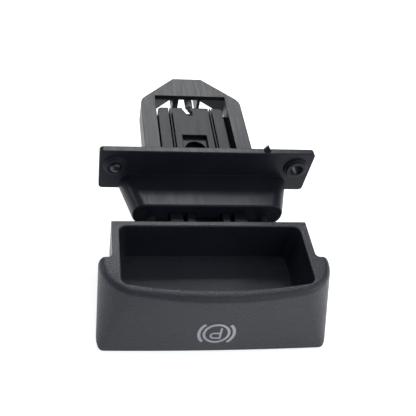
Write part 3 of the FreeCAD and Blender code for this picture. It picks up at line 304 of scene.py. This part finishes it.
finishes = {
    "gripGrain": {
        "Grain Scale": 1600.0, "Drift Scale": 45.0, "Streak": 0.0,
        "Dark": (0.0068, 0.0086, 0.0155, 1), "Light": (0.0112, 0.0136, 0.0225, 1),
        "Rough Low": 0.32, "Rough High": 0.48, "Grain Bump": 0.8, "Grain Depth": 0.00032,
        "specular": 0.46, "coat": 0.1},
    "housingSatin": {
        "Grain Scale": 1500.0, "Drift Scale": 70.0, "Streak": 0.7,
        "Dark": (0.0070, 0.0083, 0.0130, 1), "Light": (0.0115, 0.0134, 0.0195, 1),
        "Rough Low": 0.3, "Rough High": 0.46, "Grain Bump": 0.2, "Grain Depth": 0.0001,
        "specular": 0.17, "coat": 0.05},
    "slideSatin": {
        "Grain Scale": 1700.0, "Drift Scale": 80.0, "Streak": 0.4,
        "Dark": (0.0064, 0.0074, 0.0115, 1), "Light": (0.0095, 0.0110, 0.0160, 1),
        "Rough Low": 0.32, "Rough High": 0.46, "Grain Bump": 0.12, "Grain Depth": 0.00008,
        "specular": 0.12, "coat": 0.03},
    "pinGloss": {
        "Grain Scale": 900.0, "Drift Scale": 200.0, "Streak": 0.0,
        "Dark": (0.008, 0.009, 0.014, 1), "Light": (0.012, 0.013, 0.018, 1),
        "Rough Low": 0.18, "Rough High": 0.26, "Grain Bump": 0.05, "Grain Depth": 0.00005,
        "specular": 0.5},
    "sleeveGrey": {
        "Grain Scale": 1400.0, "Drift Scale": 150.0, "Streak": 0.0,
        "Dark": (0.20, 0.205, 0.21, 1), "Light": (0.26, 0.265, 0.27, 1),
        "Rough Low": 0.38, "Rough High": 0.5, "Grain Bump": 0.1, "Grain Depth": 0.00006,
        "specular": 0.5},
    "symbolPrint": {
        "Grain Scale": 2600.0, "Drift Scale": 120.0, "Streak": 0.0,
        "Dark": (0.42, 0.43, 0.46, 1), "Light": (0.54, 0.55, 0.58, 1),
        "Rough Low": 0.45, "Rough High": 0.6, "Grain Bump": 0.2, "Grain Depth": 0.00008,
        "specular": 0.4},
    "stopRubber": {
        "Grain Scale": 2200.0, "Drift Scale": 200.0, "Streak": 0.0,
        "Dark": (0.006, 0.0065, 0.008, 1), "Light": (0.009, 0.0095, 0.012, 1),
        "Rough Low": 0.6, "Rough High": 0.75, "Grain Bump": 0.2, "Grain Depth": 0.00008,
        "specular": 0.25},
    "springSteel": {
        "Grain Scale": 1200.0, "Drift Scale": 300.0, "Streak": 0.0,
        "Dark": (0.42, 0.42, 0.43, 1), "Light": (0.6, 0.6, 0.61, 1),
        "Rough Low": 0.28, "Rough High": 0.42, "Grain Bump": 0.1, "Grain Depth": 0.00004,
        "specular": 0.5, "metallic": 1.0},
}
materials = {name: makePlastic(name, values) for name, values in finishes.items()}

nodeFinish = {
    "housing": "housingSatin", "slide": "slideSatin", "grip": "gripGrain",
    "locating_pin": "pinGloss", "cable_sleeve": "sleeveGrey",
    "bump_stop_left": "stopRubber", "bump_stop_right": "stopRubber",
}
for name, finish in nodeFinish.items():
    data = nodes[name].data
    data.materials.clear()
    data.materials.append(materials[finish])
print("CAD nodes dressed")


# Return springs, drawn as pieces of their own

springSetup = {
    "coils": 15,
    "meanRadius": 1.3,
    "wireRadius": 0.25,
    "fixedEnd": -15.6,              # along Y, at the neck's front wall
    "length": 32.0,
    "pulledShare": 0.3125,          # length at full pull over the length at rest
    "stepsPerCoil": 20,
    "wireSides": 8,
}


def makeSpring(label, setup):
    box = [nodes[label].matrix_world @ Vector(corner) for corner in nodes[label].bound_box]
    x = sum(corner.x for corner in box) / 8
    z = sum(corner.z for corner in box) / 8
    start = setup["fixedEnd"] * millimetre
    radius, wire = setup["meanRadius"] * millimetre, setup["wireRadius"] * millimetre
    rise = setup["length"] * millimetre - 2 * wire
    mesh = bmesh.new()
    made = bmesh.ops.create_circle(mesh, segments=setup["wireSides"], radius=wire, cap_ends=False)
    ring = made["verts"]
    for axis in ("X", "Y"):
        turn = Matrix.Rotation(math.pi / 2, 3, axis)
        bmesh.ops.rotate(mesh, verts=ring, cent=(0, 0, 0), matrix=turn)
    bmesh.ops.translate(mesh, verts=ring, vec=(x + radius, start + wire, z))
    edges = list({edge for vertex in ring for edge in vertex.link_edges})
    steps = setup["coils"] * setup["stepsPerCoil"]
    ends = bmesh.ops.spin(mesh, geom=[*ring, *edges], cent=(x, start + wire, z), axis=(0, 1, 0),
                          dvec=(0, rise / steps, 0), angle=2 * math.pi * setup["coils"],
                          steps=steps, use_merge=False, use_duplicate=False)["geom_last"]
    lastEdges = [item for item in ends if isinstance(item, bmesh.types.BMEdge)]
    bmesh.ops.contextual_create(mesh, geom=edges)
    bmesh.ops.contextual_create(mesh, geom=lastEdges)
    bmesh.ops.remove_doubles(mesh, verts=mesh.verts, dist=wire / 100)
    bmesh.ops.recalc_face_normals(mesh, faces=mesh.faces)
    data = bpy.data.meshes.new(label + "Coil")
    mesh.to_mesh(data)
    mesh.free()
    data.materials.append(materials["springSteel"])
    for face in data.polygons:
        face.use_smooth = True
    coil = bpy.data.objects.new(label + "Coil", data)
    bpy.context.scene.collection.objects.link(coil)
    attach(coil, "housing")
    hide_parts(label)
    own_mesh(coil)
    return coil


for label in ("return_spring_left", "return_spring_right"):
    makeSpring(label, springSetup)
print("springs wound")


# Parking brake pictogram, printed upside down on the fascia as it reads from below

symbolSetup = {
    "centre": (0.0, -24.8),         # across and up, on the fascia
    "ringRadius": 4.4,
    "ringWidth": 1.0,
    "ringFlatten": 0.95,
    "bracketRadius": 6.2,
    "bracketWidth": 1.15,
    "bracketHalfAngle": 45.0,       # degrees
    "stemHeight": 5.6,
    "stemWidth": 0.8,
    "bowlHeight": 3.3,
    "bowlWidth": 3.7,
    "bowlRound": 1.2,
    "lift": 0.02,                   # the print stands off the moulding
    "thickness": 0.05,
    "tilt": -2.5,                   # degrees
    "ringSteps": 96,
    "bracketSteps": 32,
    "bowlSteps": 16,
    "longestEdge": 0.5,             # longer edges are halved, so that the print follows the fascia
    "mergeDistance": 0.001,
    "rayFrom": -0.2,                # along Y, in front of the part, in metres
}
gripTree = BVHTree.FromObject(nodes["grip"], bpy.context.evaluated_depsgraph_get())


def spinBand(mesh, radius, width, start, end, segments):
    # a short radial line turned about the symbol's centre
    inner, outer = radius - width / 2, radius + width / 2
    spin = Matrix.Rotation(math.radians(start), 3, "Z")
    first = [mesh.verts.new(spin @ Vector((reach, 0, 0))) for reach in (inner, outer)]
    edge = mesh.edges.new(first)
    sweep = math.radians(end - start)
    bmesh.ops.spin(mesh, geom=[*first, edge], cent=(0, 0, 0), axis=(0, 0, 1), dvec=(0, 0, 0),
                   angle=sweep, steps=segments, use_merge=abs(end - start) >= 360,
                   use_duplicate=False)


def gridBar(mesh, corner, size, cuts):
    made = bmesh.ops.create_grid(mesh, x_segments=cuts[0], y_segments=cuts[1], size=0.5)["verts"]
    bmesh.ops.scale(mesh, verts=made, vec=(size[0], size[1], 1))
    middle = (corner[0] + size[0] / 2, corner[1] + size[1] / 2, 0)
    bmesh.ops.translate(mesh, verts=made, vec=middle)
    return made


def makeSymbol(setup):
    mesh = bmesh.new()
    spinBand(mesh, setup["ringRadius"], setup["ringWidth"], 0, 360, setup["ringSteps"])
    half = setup["bracketHalfAngle"]
    for middle in (0, 180):
        spinBand(mesh, setup["bracketRadius"], setup["bracketWidth"],
                 middle - half, middle + half, setup["bracketSteps"])
    w, high = setup["stemWidth"], setup["stemHeight"]
    left, low = -setup["bowlWidth"] / 2, -high / 2
    gridBar(mesh, (left, low), (w, high), (2, 10))
    bowlLow = high / 2 - setup["bowlHeight"]
    straight = setup["bowlWidth"] - w - setup["bowlRound"]
    gridBar(mesh, (left + w, high / 2 - w), (straight, w), (4, 2))
    gridBar(mesh, (left + w, bowlLow), (straight, w), (4, 2))
    # the bowl's round end, spun from the upper arm to the lower one
    cx, cy = left + w + straight, high / 2 - setup["bowlHeight"] / 2
    outer, inner = setup["bowlHeight"] / 2, setup["bowlHeight"] / 2 - w
    first = [mesh.verts.new((cx, cy + reach, 0)) for reach in (inner, outer)]
    edge = mesh.edges.new(first)
    bmesh.ops.spin(mesh, geom=[*first, edge], cent=(cx, cy, 0), axis=(0, 0, 1), dvec=(0, 0, 0),
                   angle=-math.pi, steps=setup["bowlSteps"], use_merge=False, use_duplicate=False)
    bmesh.ops.remove_doubles(mesh, verts=mesh.verts, dist=setup["mergeDistance"])
    longEdges = [item for item in mesh.edges if item.calc_length() > setup["longestEdge"]]
    bmesh.ops.subdivide_edges(mesh, edges=longEdges, cuts=1, use_grid_fill=True)
    turn = Matrix.Rotation(math.radians(180 + setup["tilt"]), 3, "Z")
    bmesh.ops.rotate(mesh, verts=mesh.verts, cent=(0, 0, 0), matrix=turn)
    bmesh.ops.scale(mesh, verts=mesh.verts, vec=(1, setup["ringFlatten"], 1))
    across, up = setup["centre"]
    for vertex in mesh.verts:           # laid on the fascia from the front
        x, z = (vertex.co.x + across) * millimetre, (vertex.co.y + up) * millimetre
        hit = gripTree.ray_cast(Vector((x, setup["rayFrom"], z)), Vector((0, 1, 0)))[0]
        vertex.co = (x, hit.y - setup["lift"] * millimetre, z)
    bmesh.ops.recalc_face_normals(mesh, faces=mesh.faces)
    for face in mesh.faces:
        if face.normal.y > 0:
            face.normal_flip()
    data = bpy.data.meshes.new("parkingSymbol")
    mesh.to_mesh(data)
    mesh.free()
    symbol = bpy.data.objects.new("parkingSymbol", data)
    bpy.context.scene.collection.objects.link(symbol)
    body = symbol.modifiers.new("printThickness", "SOLIDIFY")
    body.thickness = setup["thickness"] * millimetre
    body.offset = 1
    data.materials.append(materials["symbolPrint"])
    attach(symbol, "handle")
    return symbol


makeSymbol(symbolSetup)
print("symbol printed")
